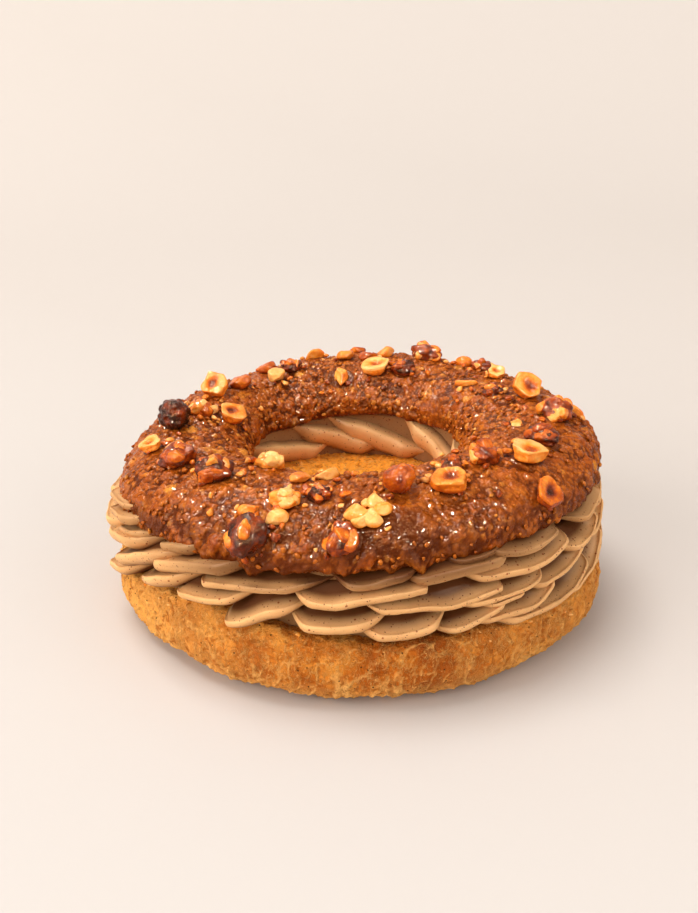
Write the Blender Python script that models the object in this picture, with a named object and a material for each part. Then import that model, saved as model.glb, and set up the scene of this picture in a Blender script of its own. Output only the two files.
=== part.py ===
"""Paris-Brest pastry: a choux base, piped praline cream, a nut-crusted choux ring and caramelised nuts.

Metres, +Z up. The origin is on the ground under the middle of the base, and the front faces -Y.
Angles are in degrees round the pastry: 0 at the front, positive towards +X.
"""

import math
from collections import namedtuple
from random import Random

import bmesh
import bpy
from mathutils import Matrix, Vector

GAP = 0.0003  # free space between neighbouring pieces

# A list with one value for every 30 degrees starts at the front.

# Base: a flat-footed choux disc with a bulging side and a gently domed middle.
BASE_FOOT_RADII = (
    0.0760, 0.0770, 0.0800, 0.0825, 0.0820, 0.0810, 0.0800, 0.0790, 0.0775, 0.0770, 0.0770, 0.0765,
)
BASE_WIDEST_RADII = (
    0.0945, 0.0955, 0.0970, 0.0975, 0.0965, 0.0950, 0.0945, 0.0945, 0.0948, 0.0950, 0.0945, 0.0945,
)
BASE_RIM_HEIGHTS = (
    0.0250, 0.0250, 0.0240, 0.0260, 0.0290, 0.0265, 0.0280, 0.0300, 0.0265, 0.0230, 0.0240, 0.0300,
)
BASE_WIDEST_HEIGHT = 0.0145
BASE_RIM_RADIUS = 0.0895
BASE_RADIUS_WAVES = ((0.0005, 5, 140), (0.0004, 9, 60))
BASE_MIDDLE_HEIGHT = 0.036
BASE_MIDDLE_RADIUS = 0.040
BASE_STEPS_SIDE = 7
SEAT_RADII = (0.0830, 0.0720, 0.0580, 0.0450)  # where the base's top and the cream on it have points

# Ring: a domed choux ring in a nut crust, higher on its +X side.
RING_OUTER_RADII = (
    0.0930, 0.0925, 0.0935, 0.0936, 0.0908, 0.0908, 0.0930, 0.0900, 0.0875, 0.0905, 0.0938, 0.0931,
)
RING_HOLE_RADII = (
    0.0420, 0.0425, 0.0415, 0.0415, 0.0425, 0.0420, 0.0420, 0.0430, 0.0435, 0.0425, 0.0420, 0.0415,
)
RING_MIDDLE_HEIGHT = 0.0555
RING_DOME = 0.0155
RING_BELLY = 0.0057
RING_DOME_POWER = 2.15
RING_BELLY_POWER = 2.3
RING_RISE_TO_RIGHT = 0.044
RING_RISE_TO_BACK = 0.022
RING_HEIGHT_WAVES = ((0.0006, 2, 10), (0.0005, 5, 30), (0.0003, 9, 80))
RING_DOME_STEPS = 8
BELLY_RADII = (0.0860, 0.0770, 0.0670, 0.0570, 0.0480)  # where the ring's belly and the cream have points

# Cream: rows of thin fins outside, and rows of broad petals round the hole.
CREAM_CORE_RADIUS = 0.0870
CREAM_REACHES = (
    0.0960, 0.0960, 0.0965, 0.0965, 0.0955, 0.0950, 0.0950, 0.0955, 0.0965, 0.0985, 0.0980, 0.0965,
)
CREAM_ROW_REACHES = (0.80, 1.00, 1.00, 0.90, 0.55)
CREAM_HOLE_RADIUS = 0.0415
CREAM_FINS_ROUND = 7
CREAM_FIN_WANDER = 0.22
CREAM_PETAL_ROWS = 2
CREAM_PETALS_ROUND = 10
CREAM_PETAL_DEPTH = 0.0035

STEPS_ROUND = 64

NUT_GAP = 0.0004
NUT_FLAT_FOOT = 0.18  # the part of a broken nut's height that is cut off flat, where it sits

# How long, wide and tall each kind of nut is, as parts of its stated size.
NUT_SHAPES = {
    "half": (1.00, 0.94, 0.46),
    "whole": (1.00, 0.92, 0.86),
    "chunk": (1.00, 0.80, 0.62),
    "cluster": (1.00, 0.88, 0.66),
    "shard": (1.00, 0.55, 0.30),
    "curl": (1.00, 0.78, 0.42),
}
NUT_COLOURS = {
    "pale": (0.80, 0.50, 0.22),
    "gold": (0.70, 0.33, 0.08),
    "amber": (0.38, 0.11, 0.02),
    "dark": (0.10, 0.022, 0.008),
}

# Each nut: its kind and colour, the angle round the pastry, the angle over the ring's section (0 outside,
# 90 on the crest, 180 in the hole), its size, its turn about the ring's surface and its lean to the front.
Nut = namedtuple("Nut", "kind colour angle over size turn lean")
NUTS = (
    Nut("half", "gold", -117, 88, 0.0114, 20, 30),
    Nut("chunk", "amber", -127, 97, 0.0106, 60, 0),
    Nut("chunk", "amber", -145, 80, 0.0090, 10, 0),
    Nut("chunk", "pale", -143, 105, 0.0088, 40, 0),
    Nut("cluster", "dark", -153, 94, 0.0098, 70, 0),
    Nut("chunk", "gold", -166, 65, 0.0090, 20, 0),
    Nut("shard", "gold", -172, 129, 0.0115, 80, 0),
    Nut("chunk", "gold", -176, 87, 0.0080, 30, 0),
    Nut("chunk", "amber", -180, 64, 0.0070, 15, 0),
    Nut("chunk", "amber", 175, 93, 0.0078, 50, 0),
    Nut("chunk", "gold", 169, 82, 0.0080, 75, 0),
    Nut("half", "pale", 171, 119, 0.0118, 5, 0),
    Nut("cluster", "dark", 159, 115, 0.0108, 35, 0),
    Nut("cluster", "amber", 155, 74, 0.0140, 10, 0),
    Nut("chunk", "gold", 142, 64, 0.0080, 25, 0),
    Nut("cluster", "amber", 134, 64, 0.0102, 55, 0),
    Nut("shard", "gold", 126, 111, 0.0095, 15, 0),
    Nut("half", "pale", 123, 80, 0.0078, 0, 20),
    Nut("cluster", "dark", 109, 106, 0.0085, 65, 0),
    Nut("half", "gold", 103, 84, 0.0120, 0, 40),
    Nut("shard", "pale", 76, 101, 0.0075, 10, 0),
    Nut("cluster", "amber", 83, 73, 0.0145, 20, 0),
    Nut("chunk", "gold", 90, 48, 0.0076, 45, 0),
    Nut("cluster", "dark", 65, 79, 0.0130, 40, 0),
    Nut("half", "pale", 51, 72, 0.0124, 5, 0),
    Nut("cluster", "amber", 41, 91, 0.0127, 30, 0),
    Nut("cluster", "dark", 30, 95, 0.0084, 10, 0),
    Nut("half", "gold", 23, 72, 0.0123, 10, 0),
    Nut("whole", "amber", 11, 81, 0.0108, 50, 0),
    Nut("half", "amber", 44, 30, 0.0108, 25, 0),
    Nut("curl", "pale", 2, 54, 0.0142, 20, 0),
    Nut("cluster", "amber", -3, 27, 0.0116, 60, 0),
    Nut("cluster", "pale", -17, 69, 0.0102, 15, 0),
    Nut("chunk", "pale", -17, 48, 0.0072, 50, 0),
    Nut("chunk", "gold", -24, 53, 0.0066, 20, 0),
    Nut("cluster", "dark", -22, 27, 0.0145, 75, 0),
    Nut("cluster", "dark", -9, 75, 0.0092, 0, 0),
    Nut("chunk", "gold", -17, 96, 0.0070, 30, 0),
    Nut("chunk", "pale", -10, 106, 0.0083, 60, 0),
    Nut("cluster", "pale", -33, 114, 0.0105, 20, 0),
    Nut("cluster", "dark", -41, 81, 0.0143, 10, 0),
    Nut("cluster", "amber", -59, 78, 0.0143, 35, 0),
    Nut("whole", "dark", -86, 82, 0.0133, 15, 0),
    Nut("half", "pale", -74, 63, 0.0088, 0, 0),
    Nut("cluster", "gold", -98, 96, 0.0113, 55, 0),
    Nut("half", "gold", -100, 127, 0.0113, 5, 0),
)


def around(values, angle):
    """Smoothly through values that stand evenly round the pastry, the first at the front."""
    place = (angle % 360.0) / 360.0 * len(values)
    first = int(place)
    t = place - first
    a, b, c, d = (values[(first + step) % len(values)] for step in (-1, 0, 1, 2))
    return b + 0.5 * t * (c - a + t * (2 * a - 5 * b + 4 * c - d + t * (3 * (b - c) + d - a)))


def waves(terms, angle):
    """The sum of cosine waves, each with a height, a number of crests round the pastry and a place."""
    return sum(height * math.cos(math.radians(count * (angle - place))) for height, count, place in terms)


def blend(start, end, part):
    return start + (end - start) * part


def smooth_step(part):
    part = min(max(part, 0.0), 1.0)
    return part * part * (3.0 - 2.0 * part)


def power_curve(turn, power):
    """Across and up, -1 to 1, at a turn round a superellipse."""
    across = math.cos(turn)
    up = math.sin(turn)
    return (
        math.copysign(abs(across) ** (2.0 / power), across),
        math.copysign(abs(up) ** (2.0 / power), up),
    )


def place(angle, radius, height):
    turn = math.radians(angle)
    return Vector((radius * math.sin(turn), -radius * math.cos(turn), height))


def base_top(angle, radius):
    """Height of the base's upper face, which climbs from the rim to the domed middle."""
    inward = (BASE_RIM_RADIUS - radius) / (BASE_RIM_RADIUS - BASE_MIDDLE_RADIUS)
    return blend(around(BASE_RIM_HEIGHTS, angle), BASE_MIDDLE_HEIGHT, smooth_step(inward))


def base_section(angle):
    """Radius and height of the base's skin, from its foot up its side and over its top to the middle."""
    foot = around(BASE_FOOT_RADII, angle)
    widest = around(BASE_WIDEST_RADII, angle) + waves(BASE_RADIUS_WAVES, angle)
    rim = around(BASE_RIM_HEIGHTS, angle)
    points = [(foot, 0.0)]
    for step in range(1, BASE_STEPS_SIDE):
        turn = math.pi / 2 * (step / (BASE_STEPS_SIDE - 1) * 2 - 1)
        across, up = power_curve(turn, 2.4)
        if up < 0:
            inner = foot
            height = BASE_WIDEST_HEIGHT * (1 + up)
        else:
            inner = BASE_RIM_RADIUS
            height = blend(BASE_WIDEST_HEIGHT, rim, up)
        points.append((blend(inner, widest, across), height))
    for radius in (*SEAT_RADII, 0.028, 0.012):
        points.append((radius, base_top(angle, radius)))
    return points


def ring_width(angle):
    """The radius of the section's middle, and half its width."""
    outer = around(RING_OUTER_RADII, angle)
    inner = around(RING_HOLE_RADII, angle)
    return (outer + inner) / 2, (outer - inner) / 2


def ring_lift(angle, radius):
    """How much the ring stands above its level middle height, as it lies a little askew."""
    turn = math.radians(angle)
    askew = RING_RISE_TO_RIGHT * math.sin(turn) - RING_RISE_TO_BACK * math.cos(turn)
    return radius * askew + waves(RING_HEIGHT_WAVES, angle)


def ring_section_point(angle, over):
    """Radius and height on the ring's skin; over is 0 outside, 90 on the crest, 180 in the hole."""
    turn = math.radians(over)
    dome = math.sin(turn) >= 0
    across, up = power_curve(turn, RING_DOME_POWER if dome else RING_BELLY_POWER)
    middle, half_width = ring_width(angle)
    radius = middle + half_width * across
    height = RING_MIDDLE_HEIGHT + (RING_DOME if dome else RING_BELLY) * up
    return radius, height + ring_lift(angle, radius)


def ring_section(angle):
    """The section from outside over the crest to the hole, and back under the belly."""
    dome = [ring_section_point(angle, 180.0 * step / RING_DOME_STEPS) for step in range(RING_DOME_STEPS + 1)]
    belly = [(radius, ring_underside(angle, radius)) for radius in reversed(BELLY_RADII)]
    return dome + belly


def ring_underside(angle, radius):
    """Height of the ring's lower face at a radius under its belly."""
    middle, half_width = ring_width(angle)
    across = abs(radius - middle) / half_width
    up = (1.0 - across**RING_BELLY_POWER) ** (1.0 / RING_BELLY_POWER)
    return RING_MIDDLE_HEIGHT - RING_BELLY * up + ring_lift(angle, radius)


def cream_outside(angle):
    """Radius and height up the outer face, a valley and a two-point crest for each row of fins."""
    low = base_top(angle, BASE_RIM_RADIUS) + 2 * GAP
    high = ring_underside(angle, BELLY_RADII[0]) - 2 * GAP
    reach = around(CREAM_REACHES, angle)
    turn = math.radians(angle)
    rows = len(CREAM_ROW_REACHES)
    points = []
    for row, row_reach in enumerate(CREAM_ROW_REACHES):
        swell = abs(math.sin(CREAM_FINS_ROUND * turn / 2 + row * 1.9))
        drift = CREAM_FIN_WANDER * math.sin(3 * turn + row * 2.3) if 0 < row < rows - 1 else 0.0
        crest = blend(CREAM_CORE_RADIUS, reach, row_reach * (0.45 + 0.55 * swell))
        for part, radius in ((0.0, CREAM_CORE_RADIUS), (0.45, crest), (0.70, crest - 0.0004)):
            points.append((radius, blend(low, high, (row + part + drift) / rows)))
    return points


def cream_inside(angle):
    """Radius and height down the wall of the hole, a crest and a valley for each row of petals."""
    high = ring_underside(angle, BELLY_RADII[-1]) - 2 * GAP
    low = base_top(angle, SEAT_RADII[-1]) + GAP
    turn = math.radians(angle)
    points = []
    for row in range(CREAM_PETAL_ROWS):
        swell = abs(math.sin(CREAM_PETALS_ROUND * turn / 2 + row * 1.4))
        for part, depth in ((0.15, 0.3), (0.45, 1.0), (0.75, 0.6)):
            radius = CREAM_HOLE_RADIUS + CREAM_PETAL_DEPTH * (1 - depth * (0.3 + 0.7 * swell))
            points.append((radius, blend(high, low, (row + part) / CREAM_PETAL_ROWS)))
    return points


def cream_section(angle):
    under_ring = [(radius, ring_underside(angle, radius) - GAP) for radius in BELLY_RADII]
    on_base = [(radius, base_top(angle, radius) + GAP) for radius in reversed(SEAT_RADII)]
    return cream_outside(angle) + under_ring + cream_inside(angle) + on_base


def material(name, colour, roughness):
    finish = bpy.data.materials.new(name)
    finish.use_nodes = True
    shader = finish.node_tree.nodes["Principled BSDF"]
    shader.inputs["Base Color"].default_value = (*colour, 1.0)
    shader.inputs["Roughness"].default_value = roughness
    shader.inputs["Metallic"].default_value = 0.0
    return finish


def add_object(name, shape, finish):
    """Turns a bmesh into a named object with outward faces and one material."""
    bmesh.ops.recalc_face_normals(shape, faces=shape.faces)
    if shape.calc_volume(signed=True) < 0:
        bmesh.ops.reverse_faces(shape, faces=shape.faces)
    mesh = bpy.data.meshes.new(name)
    shape.to_mesh(mesh)
    shape.free()
    mesh.shade_smooth()
    mesh.materials.append(finish)
    thing = bpy.data.objects.new(name, mesh)
    bpy.context.scene.collection.objects.link(thing)
    return thing


def loops_round(shape, section):
    """One list of vertices for each step round the pastry, along that step's section."""
    loops = []
    for step in range(STEPS_ROUND):
        angle = 360.0 * step / STEPS_ROUND
        loops.append([shape.verts.new(place(angle, radius, height)) for radius, height in section(angle)])
    return loops


def skin(shape, loops, closed):
    """Quads between neighbouring loops, which are closed sections or open profiles."""
    for index, loop in enumerate(loops):
        following = loops[(index + 1) % len(loops)]
        for point in range(len(loop) if closed else len(loop) - 1):
            after = (point + 1) % len(loop)
            shape.faces.new((loop[point], following[point], following[after], loop[after]))


def make_base():
    shape = bmesh.new()
    loops = loops_round(shape, base_section)
    skin(shape, loops, closed=False)
    shape.faces.new([loop[0] for loop in loops])
    middle = shape.verts.new((0.0, 0.0, BASE_MIDDLE_HEIGHT))
    for index, loop in enumerate(loops):
        shape.faces.new((loop[-1], loops[(index + 1) % len(loops)][-1], middle))
    return add_object("base", shape, material("choux", (0.55, 0.23, 0.06), 0.6))


def make_round_piece(name, section, finish):
    shape = bmesh.new()
    skin(shape, loops_round(shape, section), closed=True)
    return add_object(name, shape, finish)


def turned_shape(profile, sides):
    """A closed solid turned about Z; the profile runs from its bottom to its top, both on the axis."""
    shape = bmesh.new()
    bottom = shape.verts.new((0.0, 0.0, profile[0][1]))
    top = shape.verts.new((0.0, 0.0, profile[-1][1]))
    loops = []
    for side in range(sides):
        turn = 2 * math.pi * side / sides
        loops.append([shape.verts.new((r * math.cos(turn), r * math.sin(turn), z)) for r, z in profile[1:-1]])
    skin(shape, loops, closed=False)
    for index, loop in enumerate(loops):
        following = loops[(index + 1) % sides]
        shape.faces.new((following[0], loop[0], bottom))
        shape.faces.new((loop[-1], following[-1], top))
    return shape


def half_nut():
    """Half a hazelnut, cut face up, with the dish where its two halves parted."""
    profile = ((0.0, 0.0), (0.62, 0.05), (0.97, 0.50), (0.98, 0.82), (0.84, 1.0), (0.46, 0.66), (0.0, 0.55))
    return turned_shape(profile, sides=8)


def whole_nut():
    profile = ((0.0, 0.0), (0.55, 0.06), (0.95, 0.34), (0.94, 0.62), (0.55, 0.90), (0.0, 1.0))
    return turned_shape(profile, sides=8)


def broken_nut(dice, corners):
    """The hull of a few corners strewn over a ball, as nuts break along flat faces."""
    shape = bmesh.new()
    for index in range(corners):
        up = 1.0 - 2.0 * (index + 0.5) / corners
        turn = 2.4 * index + dice.uniform(-0.5, 0.5)
        width = math.sqrt(1.0 - up * up) * dice.uniform(0.8, 1.05)
        shape.verts.new((width * math.cos(turn), width * math.sin(turn), max(0.5 + 0.5 * up, NUT_FLAT_FOOT)))
    hull = bmesh.ops.convex_hull(shape, input=shape.verts)
    bmesh.ops.delete(shape, geom=hull["geom_unused"] + hull["geom_interior"], context="VERTS")
    return shape


def nut_cluster(dice):
    """Chopped pieces held in one lump by caramel: a ball with knobs."""
    shape = bmesh.new()
    bmesh.ops.create_icosphere(shape, subdivisions=2, radius=1.0)
    knobs = [Vector((dice.gauss(0, 1), dice.gauss(0, 1), dice.gauss(0, 1))).normalized() for _ in range(5)]
    for vertex in shape.verts:
        bulge = max(vertex.co.normalized().dot(knob) for knob in knobs)
        vertex.co *= 0.72 + 0.28 * max(bulge, 0.0) ** 3
        vertex.co.z = max(0.5 + 0.5 * vertex.co.z, NUT_FLAT_FOOT)
    return shape


def curled_nut():
    """A split nut whose two halves curl round an empty middle."""
    shape = bmesh.new()
    loops = []
    for step in range(9):
        turn = math.radians(blend(-130.0, 130.0, step / 8))
        thick = blend(0.20, 0.36, math.cos(turn / 1.6))
        middle = 0.62
        loop = []
        for side in range(6):
            spin = 2 * math.pi * side / 6
            out = middle + thick * math.cos(spin)
            up = 0.5 + 0.5 * math.sin(spin)
            loop.append(shape.verts.new((out * math.cos(turn), out * math.sin(turn), up)))
        loops.append(loop)
    for loop, following in zip(loops, loops[1:]):
        skin_pair(shape, loop, following)
    shape.faces.new(loops[0])
    shape.faces.new(loops[-1])
    return shape


def skin_pair(shape, loop, following):
    """Faces between two loops of points."""
    for point in range(len(loop)):
        after = (point + 1) % len(loop)
        shape.faces.new((loop[point], following[point], following[after], loop[after]))


def nut_shape(kind, dice):
    if kind == "half":
        return half_nut()
    if kind == "whole":
        return whole_nut()
    if kind == "curl":
        return curled_nut()
    if kind == "cluster":
        return nut_cluster(dice)
    return broken_nut(dice, 10 if kind == "chunk" else 8)


def ring_frame(angle, over):
    """The ring's skin point and, in columns, the directions round it, up its slope and out of it."""
    def skin_point(angle, over):
        return place(angle, *ring_section_point(angle, over))

    point = skin_point(angle, over)
    round_it = (skin_point(angle + 1.0, over) - skin_point(angle - 1.0, over)).normalized()
    over_it = (skin_point(angle, over + 1.0) - skin_point(angle, over - 1.0)).normalized()
    normal = round_it.cross(over_it).normalized()
    return point, Matrix((round_it, normal.cross(round_it), normal)).transposed()


def make_nut(number, nut, finish):
    """Builds a nut, sizes and turns it, and sets its lowest corner just off the ring's skin."""
    shape = nut_shape(nut.kind, Random(number))
    length, width, height = (part * nut.size for part in NUT_SHAPES[nut.kind])
    point, frame = ring_frame(nut.angle, nut.over)
    lean_to_front = Matrix.Rotation(math.radians(nut.lean), 3, "X")
    turned = lean_to_front @ frame @ Matrix.Rotation(math.radians(nut.turn), 3, "Z")
    normal = frame.col[2]
    for vertex in shape.verts:
        x, y, z = vertex.co
        vertex.co = turned @ Vector((x * length / 2, y * width / 2, z * height))
    lowest = min(vertex.co.dot(normal) for vertex in shape.verts)
    lift = point + normal * (NUT_GAP - lowest)
    for vertex in shape.verts:
        vertex.co += lift
    return add_object(f"nut_{number:02d}", shape, finish)


def clear_scene():
    for thing in list(bpy.data.objects):
        bpy.data.objects.remove(thing, do_unlink=True)


def main():
    clear_scene()
    make_base()
    make_round_piece("cream", cream_section, material("cream", (0.58, 0.36, 0.17), 0.45))
    crust = material("nut_crust", (0.27, 0.08, 0.015), 0.3)
    make_round_piece("ring", ring_section, crust)
    finishes = {name: material(f"nut_{name}", colour, 0.3) for name, colour in NUT_COLOURS.items()}
    for number, nut in enumerate(NUTS, start=1):
        make_nut(number, nut, finishes[nut.colour])


main()
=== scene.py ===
"""The looks of a paris-brest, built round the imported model: crusts, piped cream, nuts and caramel.

Metres, +Z up. Angles are in degrees round the pastry: 0 at the front (-Y), positive towards +X.
"""

import itertools
from collections import namedtuple
from math import atan2, radians

import bmesh
import bpy
import numpy as np
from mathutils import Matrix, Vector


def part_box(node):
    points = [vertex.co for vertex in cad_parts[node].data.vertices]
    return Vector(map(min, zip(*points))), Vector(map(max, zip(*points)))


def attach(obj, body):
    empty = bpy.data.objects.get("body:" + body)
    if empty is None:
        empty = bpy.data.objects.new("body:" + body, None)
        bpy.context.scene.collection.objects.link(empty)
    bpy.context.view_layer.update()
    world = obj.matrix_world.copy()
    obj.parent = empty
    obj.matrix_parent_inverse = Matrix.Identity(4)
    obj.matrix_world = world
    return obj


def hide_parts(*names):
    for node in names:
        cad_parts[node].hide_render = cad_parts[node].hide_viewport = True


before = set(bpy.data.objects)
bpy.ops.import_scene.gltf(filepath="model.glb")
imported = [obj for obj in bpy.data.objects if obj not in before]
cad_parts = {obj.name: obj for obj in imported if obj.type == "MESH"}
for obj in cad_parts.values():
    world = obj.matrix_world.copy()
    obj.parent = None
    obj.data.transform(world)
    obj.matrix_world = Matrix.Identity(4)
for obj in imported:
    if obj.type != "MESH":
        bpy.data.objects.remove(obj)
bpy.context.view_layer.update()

# A list with one value for every 30 degrees starts at the front.

BASE_FOOT_RADII = (
    0.0760, 0.0770, 0.0800, 0.0825, 0.0820, 0.0810, 0.0800, 0.0790, 0.0775, 0.0770, 0.0770, 0.0765,
)
BASE_WIDEST_RADII = (
    0.0945, 0.0955, 0.0970, 0.0975, 0.0965, 0.0950, 0.0945, 0.0945, 0.0948, 0.0950, 0.0945, 0.0945,
)
BASE_RIM_HEIGHTS = (
    0.0250, 0.0250, 0.0240, 0.0260, 0.0290, 0.0265, 0.0280, 0.0300, 0.0265, 0.0230, 0.0240, 0.0300,
)
BASE_WIDEST_HEIGHT = 0.0145
BASE_RIM_RADIUS = 0.0895
BASE_RADIUS_WAVES = ((0.0005, 5, 140), (0.0004, 9, 60))
BASE_SIDE_POWER = 2.4
BASE_MIDDLE_HEIGHT = 0.036
BASE_MIDDLE_RADIUS = 0.040

RING_OUTER_RADII = (
    0.0930, 0.0925, 0.0935, 0.0936, 0.0908, 0.0908, 0.0930, 0.0900, 0.0875, 0.0905, 0.0938, 0.0931,
)
RING_HOLE_RADII = (
    0.0420, 0.0425, 0.0415, 0.0415, 0.0425, 0.0420, 0.0420, 0.0430, 0.0435, 0.0425, 0.0420, 0.0415,
)
RING_MIDDLE_HEIGHT = 0.0555
RING_DOME = 0.0155
RING_BELLY = 0.0057
RING_DOME_POWER = 2.15
RING_BELLY_POWER = 2.3
RING_RISE_TO_RIGHT = 0.044
RING_RISE_TO_BACK = 0.022
RING_HEIGHT_WAVES = ((0.0006, 2, 10), (0.0005, 5, 30), (0.0003, 9, 80))

# Drips hang from the ring's lower edge: where, how far down, and half their width in degrees.
DRIPS = (
    (-21.0, 0.0042, 2.0), (-14.0, 0.0022, 1.6), (-33.0, 0.0016, 2.5), (-2.0, 0.0012, 2.0),
    (7.0, 0.0018, 1.5), (13.0, 0.0040, 1.7), (24.0, 0.0014, 2.0), (-52.0, 0.0012, 3.0),
    (38.0, 0.0012, 2.5), (71.0, 0.0018, 2.0), (112.0, 0.0024, 1.8), (150.0, 0.0016, 2.2),
    (196.0, 0.0026, 2.0), (229.0, 0.0018, 1.6), (262.0, 0.0022, 2.1),
)

CREAM_CORE_RADIUS = 0.0868
CREAM_HOLE_RADIUS = 0.0462
CREAM_REACHES = (
    0.0960, 0.0960, 0.0965, 0.0965, 0.0955, 0.0950, 0.0950, 0.0955, 0.0965, 0.0985, 0.0980, 0.0965,
)

# The fins of piped cream in front: points of a fin's crest (angle, height), how far it reaches (1 is the
# full reach), the height of its lip below the crest, how steeply its upper face climbs inward, and how
# long its two ends taper, as parts of its length.
Fin = namedtuple("Fin", "edge reach lip tilt start end")
FRONT_FINS = (
    Fin(((-80, 0.0475), (-70, 0.0520), (-61, 0.0540), (-50, 0.0560)), 0.80, 0.0040, 0.25, 0.30, 0.35),
    Fin(((-78, 0.0435), (-67, 0.0482), (-57, 0.0515), (-45, 0.0560)), 0.97, 0.0044, 0.25, 0.35, 0.40),
    Fin(((-74, 0.0365), (-64, 0.0425), (-54, 0.0478), (-42, 0.0520)), 0.82, 0.0048, 0.15, 0.35, 0.40),
    Fin(((-78, 0.0345), (-67, 0.0400), (-56, 0.0450), (-43, 0.0497)), 1.04, 0.0056, 0.20, 0.35, 0.35),
    Fin(((-48, 0.0465), (-42, 0.0505), (-36, 0.0532), (-28, 0.0545)), 0.86, 0.0052, 0.15, 0.25, 0.40),
    Fin(((-74, 0.0262), (-61, 0.0345), (-47, 0.0450), (-31, 0.0508)), 1.02, 0.0052, 0.15, 0.30, 0.30),
    Fin(((-82, 0.0185), (-72, 0.0225), (-62, 0.0285), (-52, 0.0360)), 1.05, 0.0044, 0.25, 0.35, 0.40),
    Fin(((-46, 0.0425), (-38, 0.0470), (-28, 0.0512), (-16, 0.0522)), 1.04, 0.0060, 0.10, 0.07, 0.35),
    Fin(((-57, 0.0300), (-49, 0.0348), (-41, 0.0398), (-30, 0.0440)), 1.04, 0.0052, 0.20, 0.35, 0.35),
    Fin(((-45, 0.0322), (-36, 0.0362), (-27, 0.0390), (-16, 0.0442)), 1.04, 0.0037, 0.40, 0.30, 0.35),
    Fin(((-34, 0.0425), (-25, 0.0450), (-14, 0.0466), (-2, 0.0478)), 1.00, 0.0038, 0.20, 0.10, 0.35),
    Fin(((-30, 0.0298), (-24, 0.0320), (-16, 0.0385), (-5, 0.0400)), 1.05, 0.0040, 0.50, 0.25, 0.35),
    Fin(((-17, 0.0452), (-7, 0.0432), (4, 0.0456), (15, 0.0478)), 1.04, 0.0040, 0.30, 0.30, 0.06),
    Fin(((-17, 0.0376), (-8, 0.0350), (1, 0.0362), (12, 0.0388)), 1.05, 0.0048, 0.30, 0.30, 0.35),
    Fin(((-8, 0.0502), (1, 0.0492), (9, 0.0522), (17, 0.0540)), 0.86, 0.0042, 0.15, 0.30, 0.35),
    Fin(((-4, 0.0352), (6, 0.0318), (13, 0.0326), (22, 0.0385)), 1.06, 0.0042, 0.50, 0.30, 0.30),
    Fin(((-2, 0.0402), (8, 0.0406), (19, 0.0400), (31, 0.0430)), 1.04, 0.0032, 0.55, 0.25, 0.05),
    Fin(((6, 0.0490), (16, 0.0518), (26, 0.0524), (37, 0.0514)), 0.95, 0.0056, 0.20, 0.25, 0.25),
    Fin(((15, 0.0548), (22, 0.0540), (28, 0.0547), (35, 0.0562)), 0.76, 0.0036, 0.15, 0.30, 0.35),
    Fin(((24, 0.0548), (32, 0.0536), (41, 0.0524), (47, 0.0572)), 0.94, 0.0034, 0.35, 0.25, 0.18),
    Fin(((15, 0.0402), (25, 0.0391), (36, 0.0396), (45, 0.0460)), 1.04, 0.0032, 0.50, 0.30, 0.25),
    Fin(((18, 0.0478), (30, 0.0474), (43, 0.0466), (51, 0.0545)), 1.04, 0.0035, 0.50, 0.25, 0.18),
    Fin(((23, 0.0360), (29, 0.0362), (34, 0.0366), (40, 0.0378)), 1.00, 0.0030, 0.40, 0.30, 0.30),
    Fin(((12, 0.0296), (21, 0.0312), (29, 0.0348), (39, 0.0382)), 1.04, 0.0040, 0.40, 0.30, 0.35),
    Fin(((34, 0.0378), (43, 0.0374), (52, 0.0394), (56, 0.0480)), 1.04, 0.0035, 0.50, 0.30, 0.20),
    Fin(((19, 0.0306), (29, 0.0312), (40, 0.0316), (49, 0.0400)), 1.05, 0.0035, 0.50, 0.30, 0.20),
    Fin(((23, 0.0290), (38, 0.0280), (53, 0.0284), (64, 0.0410)), 1.04, 0.0037, 0.50, 0.25, 0.20),
    Fin(((45, 0.0455), (54, 0.0444), (61, 0.0470), (61, 0.0560)), 1.10, 0.0037, 0.40, 0.30, 0.25),
    Fin(((50, 0.0530), (58, 0.0528), (64, 0.0560), (68, 0.0600)), 1.00, 0.0037, 0.35, 0.30, 0.25),
    Fin(((44, 0.0268), (56, 0.0270), (67, 0.0316), (72, 0.0450)), 1.04, 0.0037, 0.50, 0.30, 0.20),
)
# The fins round the sides and the back: where each row starts, as a part of the cream's height, and how
# far it reaches; and how a fin climbs along its length.
SIDE_FIN_ROWS = ((0.02, 1.04), (0.20, 1.04), (0.38, 1.02), (0.56, 0.98), (0.74, 0.88))
SIDE_FIN_CLIMB = (0.0, 0.02, 0.10, 0.28)
SIDE_FINS_FROM = 57.0
SIDE_FINS_TO = 264.0
SIDE_FIN_PITCH = 17.0

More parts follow.
